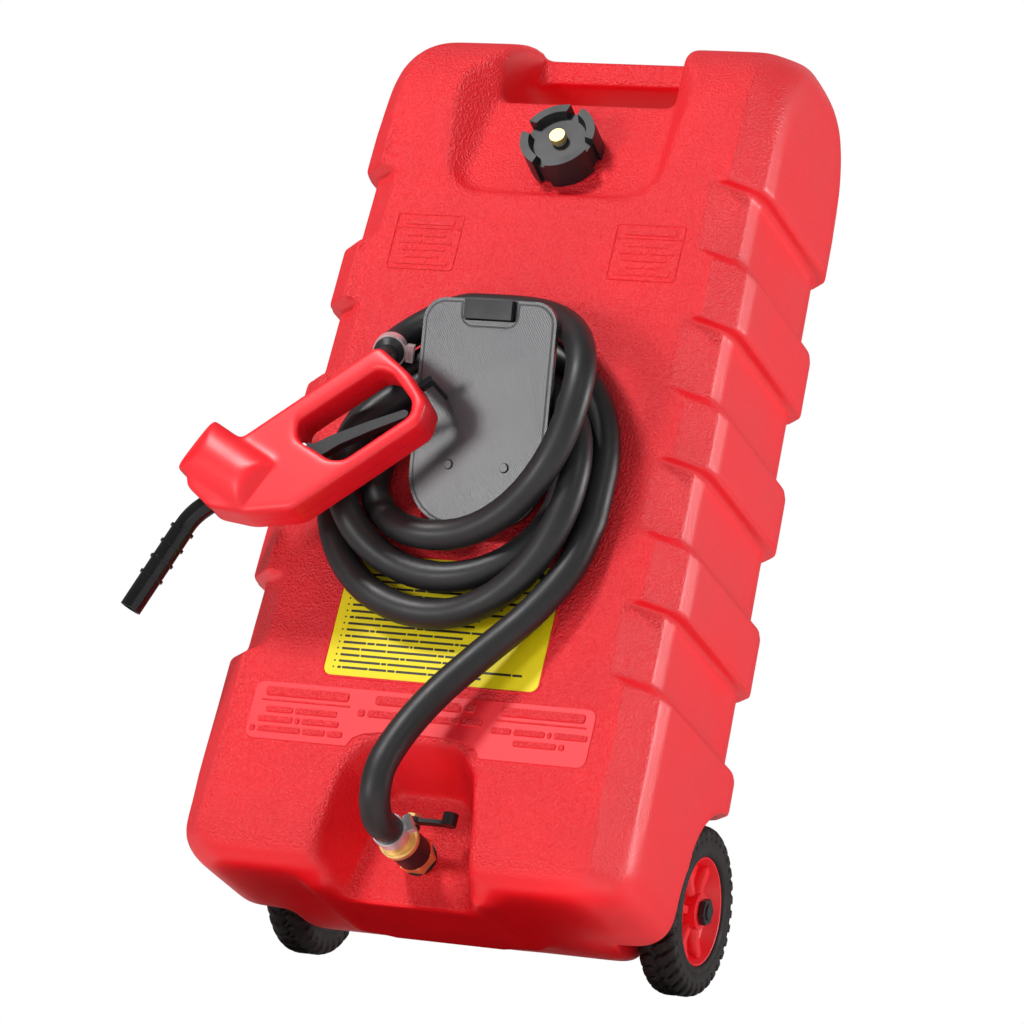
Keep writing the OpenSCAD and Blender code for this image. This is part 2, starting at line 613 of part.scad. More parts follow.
module nozzle_shell_front() color([0.72, 0.05, 0.04]) difference() {
  at_nozzle() nozzle_half(-1);
  inlet_space();
}
module nozzle_shell_back() color([0.6, 0.04, 0.03]) difference() {
  at_nozzle() nozzle_half(1);
  inlet_space();
}
module nozzle_screws() color([0.6, 0.6, 0.62]) at_nozzle() for (p = screw_spots)
  translate([p[0], p[1], shell_t]) {
  cylinder(h = 1.8, r1 = 3.4, r2 = 2.6);
  translate([0, 0, 1 - shell_screw_len]) cylinder(h = shell_screw_len, r = 1.6);
}
module at_nozzle_valve() at_nozzle() translate([stem_u, valve_v, 0]) rotate([-90, 0, 0]) children();
module nozzle_valve_body() color([0.78, 0.62, 0.25]) at_nozzle_valve() difference() {
  cylinder(h = valve_len, r = valve_r - seat);
  translate([0, 0, 3]) cylinder(h = head_z + head_t - 3 + gap, r = 9);
  translate([0, 0, 10]) cylinder(h = 30, r = 5.5);
  translate([0, 0, -1]) cylinder(h = 6, r = poppet_r + run);
  translate([0, 0, 12]) rotate([0, 90, 0]) cylinder(h = 20, r = 4.5);
}
module nozzle_poppet() color([0.75, 0.75, 0.78]) at_nozzle_valve() {
  translate([0, 0, arm_low - valve_v - gap - foot_t])
    cylinder(h = valve_v - arm_low + head_z + 5, r = poppet_r);
  translate([0, 0, head_z]) cylinder(h = head_t, r = 7.5);
  translate([0, 0, arm_low - valve_v - gap - foot_t]) cylinder(h = foot_t, r = foot_r);
}
module nozzle_spring() color([0.7, 0.7, 0.72]) at_nozzle_valve()
  translate([0, 0, 3.8]) spring(5.5, 0.6, 2, 3.2);
module nozzle_trigger() color([0.08, 0.08, 0.08]) at_nozzle() difference() {
  translate([0, 0, -trigger_w / 2]) linear_extrude(trigger_w) {
    translate(pivot) circle(knuckle_r);
    soft_shape(trigger_points, lever_r);
    translate([pivot[0], arm_low]) square([stem_u - pivot[0] + arm_over, arm_t]);
  }
  translate([pivot[0], pivot[1], -shell_t]) cylinder(h = 2 * shell_t, r = pin_r + run);
  translate([stem_u + arm_shift, arm_low - 1, 0]) rotate([-90, 0, 0]) cylinder(h = arm_t + 3, r = arm_hole);
}
module trigger_pin() color([0.75, 0.75, 0.78]) at_nozzle()
  translate([pivot[0], pivot[1], -shell_t + 4]) cylinder(h = 2 * shell_t - 8, r = pin_r);
spout_bend = 27;
spout_from = [190, 62];
spout_straight = 34;
spout_r = 50;
spout_tip = 91;
nut_u = spout_from[0] + 6;
nut_len = 9;
spout_end = [spout_from[0] + spout_straight + spout_r * sin(spout_bend),
             spout_from[1] - spout_r * (1 - cos(spout_bend)), 0];
spout_way = [cos(spout_bend), -sin(spout_bend), 0];
spout_curve = [for (i = [0 : 6]) let (a = spout_bend * i / 6)
  [spout_from[0] + spout_straight + spout_r * sin(a), spout_from[1] - spout_r * (1 - cos(a)), 0]];
module at_spout_end() translate(spout_end) rotate([0, 0, -spout_bend]) rotate([0, 90, 0]) children();
module nozzle_spout() color([0.04, 0.04, 0.04]) at_nozzle() difference() {
  union() {
    tube(concat([[spout_from[0], spout_from[1], 0]], spout_curve, [spout_end + 12 * spout_way]),
         spout_d / 2 - 0.4, 16, [0, 0, 1]);
    at_spout_end() translate([0, 0, 3]) cylinder(h = spout_tip - 3, r = spout_d / 2);
    at_spout_end() for (i = [0 : 3]) translate([0, 0, 3 + 17 * i]) cylinder(h = 3, r = spout_d / 2 + 1.6);
  }
  tube(concat([[spout_from[0] - 1, spout_from[1], 0]], spout_curve,
              [spout_end + (spout_tip + 1) * spout_way]),
       spout_bore / 2, 16, [0, 0, 1]);
}
module spout_nut() color([0.05, 0.05, 0.05]) at_nozzle()
  translate([nut_u, spout_from[1], 0]) rotate([0, 90, 0]) difference() {
  cylinder(h = nut_len, r = spout_d / 2 + 3);
  translate([0, 0, -1]) cylinder(h = nut_len + 2, r = spout_d / 2 + seat);
}
// inlet barb, from the rear top of the casing back to the hose
inlet_len = 54;
inlet_neck = 20;
inlet_r = 9;
module at_inlet() translate(lead_from)
  rotate([0, acos(lead_way[2] / norm(lead_way)), atan2(lead_way[1], lead_way[0])]) children();
module nozzle_inlet() color([0.05, 0.05, 0.05]) at_inlet() difference() {
  union() {
    translate([0, 0, -inlet_len]) cylinder(h = inlet_len - inlet_neck + 1, r = inlet_r);
    translate([0, 0, -inlet_neck]) cylinder(h = 5, r1 = inlet_r, r2 = hose_d / 2);
    translate([0, 0, -inlet_neck + 5]) cylinder(h = inlet_neck - 5, r = hose_d / 2);
  }
  translate([0, 0, -inlet_len - 1]) cylinder(h = inlet_len + 2, r = 7);
}
module inlet_space() at_inlet() translate([0, 0, -inlet_len - seat])
  cylinder(h = inlet_len, r = inlet_r + seat);
module hose_clamp_nozzle() color([0.75, 0.75, 0.77]) at_inlet() translate([0, 0, -13])
  rotate([0, 0, 180]) band_clamp();
module nozzle_hook() color([0.05, 0.05, 0.05]) at_nozzle() {
  translate([-18, 36, -5]) cube([12, 6, 10]);
  translate([-20, 36, -5]) cube([4, 6, 42.5]);
}

// running gear
bush_r = axle_d / 2 + 3;
hub_r = 17;
hub_w = rim_w + 2;
web_z = rim_w / 2 - 2;
module axle() color([0.55, 0.55, 0.57]) axle_rod(axle_d / 2, wheel_out + 0.5);
module at_rim(s, h) at_wheel(s) translate([0, 0, (tyre_w - rim_w) / 2 + h]) children();
module wheel_rim(s) color([0.7, 0.05, 0.04]) at_rim(s, 0) difference() {
  union() {
    difference() {
      cylinder(h = rim_w, r = rim_r);
      translate([0, 0, -1]) cylinder(h = rim_w + 2, r = rim_r - 6);
    }
    translate([0, 0, -1]) cylinder(h = hub_w, r = hub_r);
    translate([0, 0, web_z]) cylinder(h = 4, r = rim_r - 3);
    for (i = [0 : 5]) rotate([0, 0, 60 * i]) translate([hub_r - 3, -3, 6])
      cube([rim_r - hub_r - 1, 6, rim_w - 12]);
  }
  translate([0, 0, -5]) cylinder(h = 60, r = bush_r + seat);
}
module tyre(s) color([0.03, 0.03, 0.03]) at_wheel(s) rotate_extrude()
  polygon([[rim_r, 3], [rim_r + 5, 0], [wheel_r - 10, 0], [wheel_r - 2, 4], [wheel_r, 9],
           [wheel_r, tyre_w / 2 - 3], [wheel_r - 4, tyre_w / 2 - 2], [wheel_r - 4, tyre_w / 2 + 2],
           [wheel_r, tyre_w / 2 + 3], [wheel_r, tyre_w - 9], [wheel_r - 2, tyre_w - 4],
           [wheel_r - 10, tyre_w], [rim_r + 5, tyre_w], [rim_r, tyre_w - 3]]);
module wheel_bush(s) color([0.85, 0.85, 0.8]) at_rim(s, -1) difference() {
  cylinder(h = hub_w, r = bush_r);
  translate([0, 0, -1]) cylinder(h = hub_w + 2, r = axle_d / 2 + run);
}
module axle_washer(s) color([0.5, 0.5, 0.52]) at_rim(s, hub_w - 1 + gap) difference() {
  cylinder(h = wheel_out - well_x - (tyre_w - rim_w) / 2 + 1 - hub_w - gap, r = 12);
  translate([0, 0, -1]) cylinder(h = 30, r = axle_d / 2 + run);
}
module axle_cap(s) color([0.05, 0.05, 0.05]) at_wheel(s) translate([0, 0, -4]) difference() {
  union() {
    cylinder(h = 6 - gap, r = 13, $fn = 6);
    translate([0, 0, -2]) cylinder(h = 3, r = 7.5);
  }
  translate([0, 0, 5]) cylinder(h = 10, r = axle_d / 2);
  translate([0, 0, 3]) cylinder(h = 10, r = axle_d / 2);
}
module rim_left() wheel_rim(-1);
module rim_right() wheel_rim(1);
module tyre_left() tyre(-1);
module tyre_right() tyre(1);
module bush_left() wheel_bush(-1);
module bush_right() wheel_bush(1);
module washer_left() axle_washer(-1);
module washer_right() axle_washer(1);
module axle_cap_left() axle_cap(-1);
module axle_cap_right() axle_cap(1);

tank();
label();
filler_cap();
cap_gasket();
vent_stem();
vent_spring();
hose_plate();
plate_latch();
latch_spring();
plate_screws();
outlet_gasket();
outlet_fitting();
valve_body();
valve_seats();
valve_ball();
valve_stem();
valve_lever();
lever_nut();
valve_collar();
hose_barb();
hose_clamp_valve();
hose_coil();
hose_lead();
hose_tail();
nozzle_shell_front();
nozzle_shell_back();
nozzle_screws();
nozzle_valve_body();
nozzle_poppet();
nozzle_spring();
nozzle_trigger();
trigger_pin();
nozzle_spout();
spout_nut();
nozzle_inlet();
hose_clamp_nozzle();
nozzle_hook();
axle();
rim_left();
rim_right();
tyre_left();
tyre_right();
bush_left();
bush_right();
washer_left();
washer_right();
axle_cap_left();
axle_cap_right();
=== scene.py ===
import math

import bmesh
import bpy
import numpy as np
from mathutils import Matrix, Vector
from mathutils.bvhtree import BVHTree


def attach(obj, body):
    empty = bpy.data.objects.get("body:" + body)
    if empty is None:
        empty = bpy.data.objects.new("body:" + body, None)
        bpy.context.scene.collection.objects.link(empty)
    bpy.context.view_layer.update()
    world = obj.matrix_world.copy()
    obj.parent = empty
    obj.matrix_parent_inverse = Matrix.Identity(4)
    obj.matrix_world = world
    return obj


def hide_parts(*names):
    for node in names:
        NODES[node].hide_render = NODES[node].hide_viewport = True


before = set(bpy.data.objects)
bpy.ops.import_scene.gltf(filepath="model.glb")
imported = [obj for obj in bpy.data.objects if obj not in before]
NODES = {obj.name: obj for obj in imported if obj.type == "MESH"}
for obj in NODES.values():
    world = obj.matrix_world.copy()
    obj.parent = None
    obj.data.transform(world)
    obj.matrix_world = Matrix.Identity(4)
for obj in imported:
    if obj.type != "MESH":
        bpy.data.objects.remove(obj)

MM = 0.001
scene = bpy.context.scene
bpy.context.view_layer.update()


# camera: below the floor's level and in front, as the photograph was taken
CAM_AT = Vector((1.8678, -4.0647, -1.1479))
CAM_LOOK = Vector((-0.3984, 0.8557, 0.3303)).normalized()
CAM_UP = Vector((-0.0674, -0.3865, 0.9198)).normalized()
CAM_RIGHT = CAM_LOOK.cross(CAM_UP).normalized()


def make_camera():
    data = bpy.data.cameras.new("photo_camera")
    data.sensor_width = 36.0
    data.lens = 175.8
    data.clip_end = 60.0
    camera = bpy.data.objects.new("photo_camera", data)
    scene.collection.objects.link(camera)
    up = CAM_RIGHT.cross(CAM_LOOK)
    turn = Matrix((CAM_RIGHT, up, -CAM_LOOK)).transposed().to_4x4()
    turn.translation = CAM_AT
    camera.matrix_world = turn
    scene.camera = camera


make_camera()


# node materials
class Shader:
    """A Principled material and the few nodes that most finishes here share."""

    def __init__(self, name, color, rough, metallic=0.0, specular=0.5):
        self.material = bpy.data.materials.new(name)
        self.material.use_nodes = True
        self.tree = self.material.node_tree
        self.tree.nodes.clear()
        out = self.tree.nodes.new("ShaderNodeOutputMaterial")
        self.bsdf = self.tree.nodes.new("ShaderNodeBsdfPrincipled")
        self.join(self.bsdf.outputs["BSDF"], out.inputs["Surface"])
        self.set("Base Color", (*color, 1.0))
        self.set("Roughness", rough)
        self.set("Metallic", metallic)
        self.set("Specular IOR Level", specular)
        self.color = color
        self.rough = rough
        self.place = self.tree.nodes.new("ShaderNodeTexCoord").outputs["Object"]
        self.normal = None

    def set(self, socket, value):
        self.bsdf.inputs[socket].default_value = value

    def join(self, a, b):
        self.tree.links.new(a, b)

    def noise(self, scale, detail=3.0):
        n = self.tree.nodes.new("ShaderNodeTexNoise")
        n.inputs["Scale"].default_value = scale
        n.inputs["Detail"].default_value = detail
        n.inputs["Roughness"].default_value = 0.55
        self.join(self.place, n.inputs["Vector"])
        return n.outputs["Fac"]

    def cells(self, scale):
        n = self.tree.nodes.new("ShaderNodeTexVoronoi")
        n.feature = "SMOOTH_F1"
        n.inputs["Scale"].default_value = scale
        n.inputs["Smoothness"].default_value = 0.6
        self.join(self.place, n.inputs["Vector"])
        return n.outputs["Distance"]

    def span(self, value, low, high, to_low=0.0, to_high=1.0):
        n = self.tree.nodes.new("ShaderNodeMapRange")
        n.inputs["From Min"].default_value = low
        n.inputs["From Max"].default_value = high
        n.inputs["To Min"].default_value = to_low
        n.inputs["To Max"].default_value = to_high
        self.join(value, n.inputs["Value"])
        return n.outputs["Result"]

    def combine(self, a, b, kind):
        n = self.tree.nodes.new("ShaderNodeMath")
        n.operation = kind
        self.join(a, n.inputs[0])
        self.join(b, n.inputs[1])
        return n.outputs[0]

    def mix(self, share, a, b):
        n = self.tree.nodes.new("ShaderNodeMix")
        n.data_type = "RGBA"
        self.join(share, n.inputs["Factor"])
        # its colour sockets go by number, because sockets of other types share their names
        n.inputs[6].default_value = (*a, 1.0)
        n.inputs[7].default_value = (*b, 1.0)
        return n.outputs[2]

    def vary(self, scale, spread, rough_spread):
        """Slow drift of colour and gloss over the surface."""
        drift = self.noise(scale, 4.0)
        dark = tuple(c * (1.0 - spread) for c in self.color)
        light = tuple(min(1.0, c * (1.0 + spread)) for c in self.color)
        self.join(self.mix(self.span(drift, 0.3, 0.7), dark, light), self.bsdf.inputs["Base Color"])
        low, high = self.rough - rough_spread, self.rough + rough_spread
        self.join(self.span(drift, 0.25, 0.75, high, low), self.bsdf.inputs["Roughness"])

    def bump(self, height, depth, strength):
        n = self.tree.nodes.new("ShaderNodeBump")
        n.inputs["Distance"].default_value = depth
        if isinstance(strength, (int, float)):
            n.inputs["Strength"].default_value = strength
        else:
            self.join(strength, n.inputs["Strength"])
        self.join(height, n.inputs["Height"])
        if self.normal:
            self.join(self.normal, n.inputs["Normal"])
        self.normal = n.outputs["Normal"]
        self.join(self.normal, self.bsdf.inputs["Normal"])

    def facing(self):
        geometry = self.tree.nodes.new("ShaderNodeNewGeometry")
        split = self.tree.nodes.new("ShaderNodeSeparateXYZ")
        self.join(geometry.outputs["Normal"], split.inputs[0])
        return split.outputs


def tank_red():
    s = Shader("tank_red", (0.86, 0.004, 0.014), 0.41, specular=0.75)
    s.vary(9.0, 0.07, 0.05)
    n = s.facing()
    front = s.span(n[1], -0.25, -0.75)
    low = s.span(n[2], -0.35, -0.75, 1.0, 0.25)
    pebble = s.combine(s.cells(430.0), s.noise(900.0, 2.0), "ADD")
    s.bump(pebble, 0.0017, s.combine(s.span(front, 0.0, 1.0, 0.12, 0.85), low, "MULTIPLY"))
    s.bump(s.noise(28.0, 2.0), 0.0012, 0.16)
    return s.material


def tank_smooth():
    s = Shader("tank_smooth", (0.86, 0.006, 0.018), 0.48, specular=0.75)
    s.vary(14.0, 0.04, 0.04)
    s.bump(s.noise(1500.0, 2.0), 0.0003, 0.2)
    return s.material


def moulded_red():
    s = Shader("moulded_red", (0.84, 0.004, 0.014), 0.42, specular=0.6)
    s.vary(24.0, 0.05, 0.05)
    s.bump(s.noise(2600.0, 2.0), 0.0002, 0.25)
    return s.material


def black_plastic(name="black_plastic", color=(0.014, 0.014, 0.016), rough=0.42, grain=0.3):
    s = Shader(name, color, rough, specular=0.42)
    s.vary(45.0, 0.18, 0.2 * grain)
    s.bump(s.noise(1500.0, 3.0), 0.0003, grain)
    return s.material


def plate_black():
    s = Shader("plate_black", (0.045, 0.045, 0.05), 0.24, specular=1.0)
    s.vary(14.0, 0.12, 0.06)
    wave = s.tree.nodes.new("ShaderNodeTexWave")
    wave.bands_direction = "DIAGONAL"
    wave.inputs["Scale"].default_value = 260.0
    wave.inputs["Distortion"].default_value = 0.6
    s.join(s.place, wave.inputs["Vector"])
    s.bump(s.combine(wave.outputs["Fac"], s.noise(1300.0), "ADD"), 0.0003, 0.25)
    return s.material


def hose_rubber():
    s = Shader("hose_rubber", (0.014, 0.0135, 0.0145), 0.44, specular=0.45)
    s.vary(30.0, 0.2, 0.08)
    s.bump(s.noise(1400.0, 2.0), 0.0003, 0.22)
    s.bump(s.noise(60.0, 2.0), 0.001, 0.1)
    return s.material


def tyre_rubber():
    s = Shader("tyre_rubber", (0.017, 0.0125, 0.0125), 0.6, specular=0.26)
    s.vary(70.0, 0.25, 0.1)
    s.bump(s.noise(1200.0, 3.0), 0.0005, 0.35)
    return s.material


def seal_rubber():
    s = Shader("seal_rubber", (0.02, 0.02, 0.021), 0.75, specular=0.3)
    s.vary(60.0, 0.2, 0.08)
    s.bump(s.noise(1800.0), 0.0003, 0.25)
    return s.material


def metal(name, color, rough, brushed):
    s = Shader(name, color, rough, metallic=0.7)
    s.vary(120.0, 0.08, 0.05)
    s.bump(s.noise(brushed, 2.0), 0.0001, 0.1)
    return s.material


def white_plastic():
    s = Shader("white_plastic", (0.8, 0.8, 0.77), 0.5)
    s.vary(50.0, 0.04, 0.06)
    s.bump(s.noise(1500.0), 0.0002, 0.2)
    return s.material


def label_film():
    s = Shader("label_film", (0.88, 0.72, 0.006), 0.38, specular=0.45)
    s.vary(20.0, 0.03, 0.05)
    s.bump(s.noise(90.0, 2.0), 0.0004, 0.12)
    return s.material


def ink():
    s = Shader("ink", (0.02, 0.018, 0.014), 0.45)
    s.vary(40.0, 0.2, 0.05)
    return s.material


MAT = {
    "tank_red": tank_red(),
    "tank_smooth": tank_smooth(),
    "ink": ink(),
    "moulded_red": moulded_red(),
    "black_plastic": black_plastic(),
    "plate_black": plate_black(),
    "hose_rubber": hose_rubber(),
    "tyre": tyre_rubber(),
    "seal_rubber": seal_rubber(),
    "brass": metal("brass", (0.86, 0.62, 0.24), 0.36, 900.0),
    "steel": metal("steel", (0.78, 0.78, 0.8), 0.34, 1200.0),
    "gloss_black": black_plastic("gloss_black", (0.006, 0.006, 0.007), 0.13, 0.04),
    "white_plastic": white_plastic(),
    "label": label_film(),
}


# pieces
def add(name, data, material, body, slot, *replaced):
    obj = bpy.data.objects.new(name, data)
    scene.collection.objects.link(obj)
    data.materials.clear()
    data.materials.append(MAT[material])
    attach(obj, body)
    if replaced:
        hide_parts(*replaced)
    return obj


def to_mesh(name, bm, smooth=True):
    mesh = bpy.data.meshes.new(name)
    bm.normal_update()
    bm.to_mesh(mesh)
    bm.free()
    mesh.polygons.foreach_set("use_smooth", [smooth] * len(mesh.polygons))
    return mesh


def through(mesh, kind, **settings):
    """The mesh after one modifier."""
    obj = bpy.data.objects.new("work", mesh)
    scene.collection.objects.link(obj)
    modifier = obj.modifiers.new("work", kind)
    for key, value in settings.items():
        setattr(modifier, key, value)
    made = bpy.data.meshes.new_from_object(obj.evaluated_get(bpy.context.evaluated_depsgraph_get()))
    bpy.data.objects.remove(obj)
    bpy.data.meshes.remove(mesh)
    made.polygons.foreach_set("use_smooth", [True] * len(made.polygons))
    return made


def points_of(mesh):
    co = np.empty(len(mesh.vertices) * 3)
    mesh.vertices.foreach_get("co", co)
    return co.reshape(-1, 3)


def put_points(mesh, co):
    mesh.vertices.foreach_set("co", co.ravel())
    mesh.update()


def relax(mesh, rounds, weight):
    """Pulls each point towards its neighbours; weight(points) gives its share of the pull."""
    co = points_of(mesh)
    count = len(co)
    ends = np.empty(len(mesh.edges) * 2, int)
    mesh.edges.foreach_get("vertices", ends)
    a, b = ends.reshape(-1, 2).T
    degree = np.bincount(ends, minlength=count)
    pull = 0.5 * weight(co)[:, None]
    for _ in range(rounds):
        mean = np.empty_like(co)
        for k in range(3):
            near = np.bincount(a, co[b, k], count) + np.bincount(b, co[a, k], count)
            mean[:, k] = near / degree
        co += pull * (mean - co)
    put_points(mesh, co)


def even(co):
    """The same pull for every point."""
    return np.ones(len(co))


def merged(node):
    """A CAD node's mesh as a copy with its points joined."""
    bm = bmesh.new()
    bm.from_mesh(NODES[node].data)
    bmesh.ops.remove_doubles(bm, verts=bm.verts, dist=3e-6)
    return bm


def skirt(bm, rings, closed):
    """Joins rings of points; open ends are capped."""
    made = [[bm.verts.new(p) for p in ring] for ring in rings]
    pairs = list(zip(made, made[1:]))
    if closed:
        pairs.append((made[-1], made[0]))
    else:
        bm.faces.new(list(reversed(made[0])))
        bm.faces.new(made[-1])
    count = len(made[0])
    for low, high in pairs:
        for k in range(count):
            j = (k + 1) % count
            bm.faces.new((low[k], low[j], high[j], high[k]))


def zone(value, low, high):
    """A straight ramp from 0 at low to 1 at high, level beyond both."""
    return np.clip((value - low) / (high - low), 0, 1)


# hose: the route of the source, from the valve to the nozzle, in millimetres here
HOSE_D = 28.4
OUTLET_Z = 47.0
HOSE_END = -158.0
STATIONS = [
    (-4, -153, 563), (114, -221, 460), (-15, -176, 325), (-95.5, -156, 392), (2, -155, 464),
    (95, -157, 388), (-8, -162, 290), (-117.5, -187, 386), (3.5, -156, 497), (114, -185.5, 389),
    (-9, -160, 254), (-135.5, -157, 382), (5, -154, 530.5), (128, -157, 404),
]
TAIL = [
    (128, -157, 404), (128, -157, 372), (127, -158, 348), (118, -161, 306), (92, -166, 259),
    (58, -174, 214), (29, -183, 172), (11, -195, 131), (2, -206, 92), (1, -203, 63),
    (0, -185, 48), (0, HOSE_END - 5, OUTLET_Z), (0, HOSE_END + 24, OUTLET_Z),
]
LEAD_FROM = np.array((-93.5, -190.0, 502.0))
LEAD_WAY = np.array((-0.22, 0.74, 0.635))
LEAD_STUB = 5
LEAD_PULL = 80
START_PULL = np.array((75.0, 0, 0))
LEAD_STEPS = 16
TURN_STEPS = 14
TAIL_STEPS = 6
HOSE_SIDES = 24


def hermite(a, b, ta, tb, f):
    return ((2 * f**3 - 3 * f**2 + 1) * a + (f**3 - 2 * f**2 + f) * ta
            + (3 * f**2 - 2 * f**3) * b + (f**3 - f**2) * tb)


def quarter(a, b, side, f):
    """A quarter turn from a to b: it leaves a upright if side is set, and level if not."""
    c, s = math.cos(math.pi / 2 * f), math.sin(math.pi / 2 * f)
    y = a[1] + (b[1] - a[1]) * f * f * (3 - 2 * f)
    if side:
        return np.array((b[0] + (a[0] - b[0]) * c, y, a[2] + (b[2] - a[2]) * s))
    return np.array((a[0] + (b[0] - a[0]) * s, y, b[2] + (a[2] - b[2]) * c))


def hose_route():
    stations = [np.array(p, float) for p in STATIONS]
    tail = [np.array(p, float) for p in TAIL]
    start = stations[0] - (HOSE_D, 0, 0)
    end = stations[-1] - (0, 0, HOSE_D)
    route = [LEAD_FROM]
    for k in range(LEAD_STEPS + 1):
        route.append(hermite(LEAD_FROM + LEAD_STUB * LEAD_WAY, start - (LEAD_STUB, 0, 0),
                             LEAD_PULL * LEAD_WAY, START_PULL, k / LEAD_STEPS))
    route += [start, start + (HOSE_D / 2, 0, 0)]
    for i in range(len(stations) - 1):
        route += [quarter(stations[i], stations[i + 1], i % 2 == 1, k / TURN_STEPS)
                  for k in range(TURN_STEPS)]
    route += [stations[-1], stations[-1] - (0, 0, HOSE_D / 2), end]
    for i in range(1, len(tail) - 2):
        ta, tb = (tail[i + 1] - tail[i - 1]) / 2, (tail[i + 2] - tail[i]) / 2
        first = 1 if i == 1 else 0
        route += [hermite(tail[i], tail[i + 1], ta, tb, k / TAIL_STEPS)
                  for k in range(first, TAIL_STEPS)]
    route += [tail[-2], np.array((0, HOSE_END, OUTLET_Z))]
    return [p * MM for p in reversed(route)]


def tube(name, path, radius, sides):
    """A round closed tube whose rings keep their turn along the path."""
    path = [Vector(p) for p in path]
    turns = [2 * math.pi * k / sides for k in range(sides)]
    rings = []
    up = None
    for i, p in enumerate(path):
        way = (path[min(i + 1, len(path) - 1)] - path[max(i - 1, 0)]).normalized()
        up = way.orthogonal() if up is None else up - way * up.dot(way)
        up.normalize()
        side = way.cross(up)
        rings.append([p + radius * (math.cos(a) * up + math.sin(a) * side) for a in turns])
    bm = bmesh.new()
    skirt(bm, rings, False)
    bmesh.ops.recalc_face_normals(bm, faces=bm.faces)
    return to_mesh(name, bm)


def make_hose():
    route = hose_route()
    hose = add("hose", tube("hose", route, HOSE_D / 2 * MM, HOSE_SIDES), "hose_rubber",
               "caddy", "hose_rubber", "hose_coil", "hose_lead", "hose_tail")


make_hose()


# tank: the outer skin of the CAD tank with the soft edges of a moulding
FRONT_Y = -140.0
TAPER = 0.021
MID_Z = 450.0
CAP_AT = np.array((0.0, -0.1116, 0.743))
CAP_WAY = np.array((0.0, -0.978148, 0.207912))
FACE_HALF = 0.176
HOSE_LOW = 200
HOSE_TOP = 560
RAYS = 160
FEW = 2


def outer_skin(bm):
    """Leaves the faces from which more than a few rays reach the open, and closes what is left."""
    tree = BVHTree.FromBMesh(bm)
    turn = math.pi * (3 - math.sqrt(5))
    rays = []
    for i in range(RAYS):
        z = 1 - 2 * (i + 0.5) / RAYS
        r = math.sqrt(1 - z * z)
        rays.append(Vector((r * math.cos(turn * i), r * math.sin(turn * i), z)))
    inner = []
    for face in bm.faces:
        start = face.calc_center_median() + face.normal * 2e-4
        open_rays = 0
        for ray in rays:
            if ray.dot(face.normal) > 0.05 and tree.ray_cast(start, ray)[0] is None:
                open_rays += 1
                if open_rays > FEW:
                    break
        if open_rays <= FEW:
            inner.append(face)
    bmesh.ops.delete(bm, geom=inner, context="FACES")
    loose = [v for v in bm.verts if not v.link_faces]
    bmesh.ops.delete(bm, geom=loose, context="VERTS")
    bmesh.ops.holes_fill(bm, edges=[e for e in bm.edges if e.is_boundary], sides=0)
    bmesh.ops.recalc_face_normals(bm, faces=bm.faces)
    return bm


def tank_pull(co):
    """Full softening, except close to the filler neck and the outlet."""
    off = co - CAP_AT
    along = off @ CAP_WAY
    from_axis = np.linalg.norm(off - np.outer(along, CAP_WAY), axis=1)
    neck = zone(from_axis, 0.033, 0.045)
    outlet = np.hypot(co[:, 0], co[:, 2] - OUTLET_Z * MM)
    port = zone(outlet, 0.02, 0.032)
    return np.minimum(neck, np.where(co[:, 1] < 0, port, 1.0)) * 0.96 + 0.04


def hollow_pull(co):
    """The cap pocket, the hand slot and the valve recess have rounder edges than the bands."""
    x, z = np.abs(co[:, 0]), co[:, 2]
    pocket = zone(x, 0.155, 0.135) * zone(z, 0.665, 0.685)
    recess = zone(x, 0.12, 0.1) * zone(z, 0.175, 0.155) * (co[:, 1] < 0)
    return np.maximum(pocket, recess) * tank_pull(co)


def shoulder_pull(co):
    """The outer corners at the top and at the foot are the roundest."""
    x, z = np.abs(co[:, 0]), co[:, 2]
    high = zone(z, 0.76, 0.79) * zone(x, 0.125, 0.145)
    low = zone(z, 0.09, 0.06) * zone(x, 0.055, 0.075)
    return np.maximum(high, low) * tank_pull(co)


def flatten(mesh):
    """Takes the raised frames off the skin, because pieces of their own follow on the flat face."""
    co = points_of(mesh)
    z = co[:, 2] / MM
    face = (FRONT_Y + TAPER * (z - MID_Z)) * MM
    marked = (z < HOSE_LOW) | (z > HOSE_TOP)
    here = (np.abs(co[:, 0]) < FACE_HALF) & marked & (co[:, 1] < face)
    co[here, 1] = face[here]
    put_points(mesh, co)


def make_tank():
    skin = to_mesh("tank_skin", outer_skin(merged("tank")))
    voxel = 0.0022
    skin = through(skin, "REMESH", mode="VOXEL", voxel_size=voxel)
    flatten(skin)
    share = 1.0
    for rounds, pull in ((6, tank_pull), (18, hollow_pull), (60, shoulder_pull)):
        relax(skin, round(share * rounds), pull)
    skin = through(skin, "DECIMATE", ratio=0.22)
    add("tank_body", skin, "tank_red", "caddy", "tank_red", "tank")


make_tank()


# raised and printed marks: plain frames and bars, in millimetres on the face that carries them
SINK = 1.0


def on_front(x, z, out):
    return Vector((x, FRONT_Y + TAPER * (z - MID_Z) - out, z + TAPER * out)) * MM


def rounded(w, h, r, steps=6):
    """Outline of a rectangle with round corners, counter-clockwise round its middle."""
    points = []
    for i, (sx, sy) in enumerate(((1, 1), (-1, 1), (-1, -1), (1, -1))):
        for k in range(steps + 1):
            a = math.pi / 2 * (i + k / steps)
            points.append((sx * (w / 2 - r) + r * math.cos(a), sy * (h / 2 - r) + r * math.sin(a)))
    return points


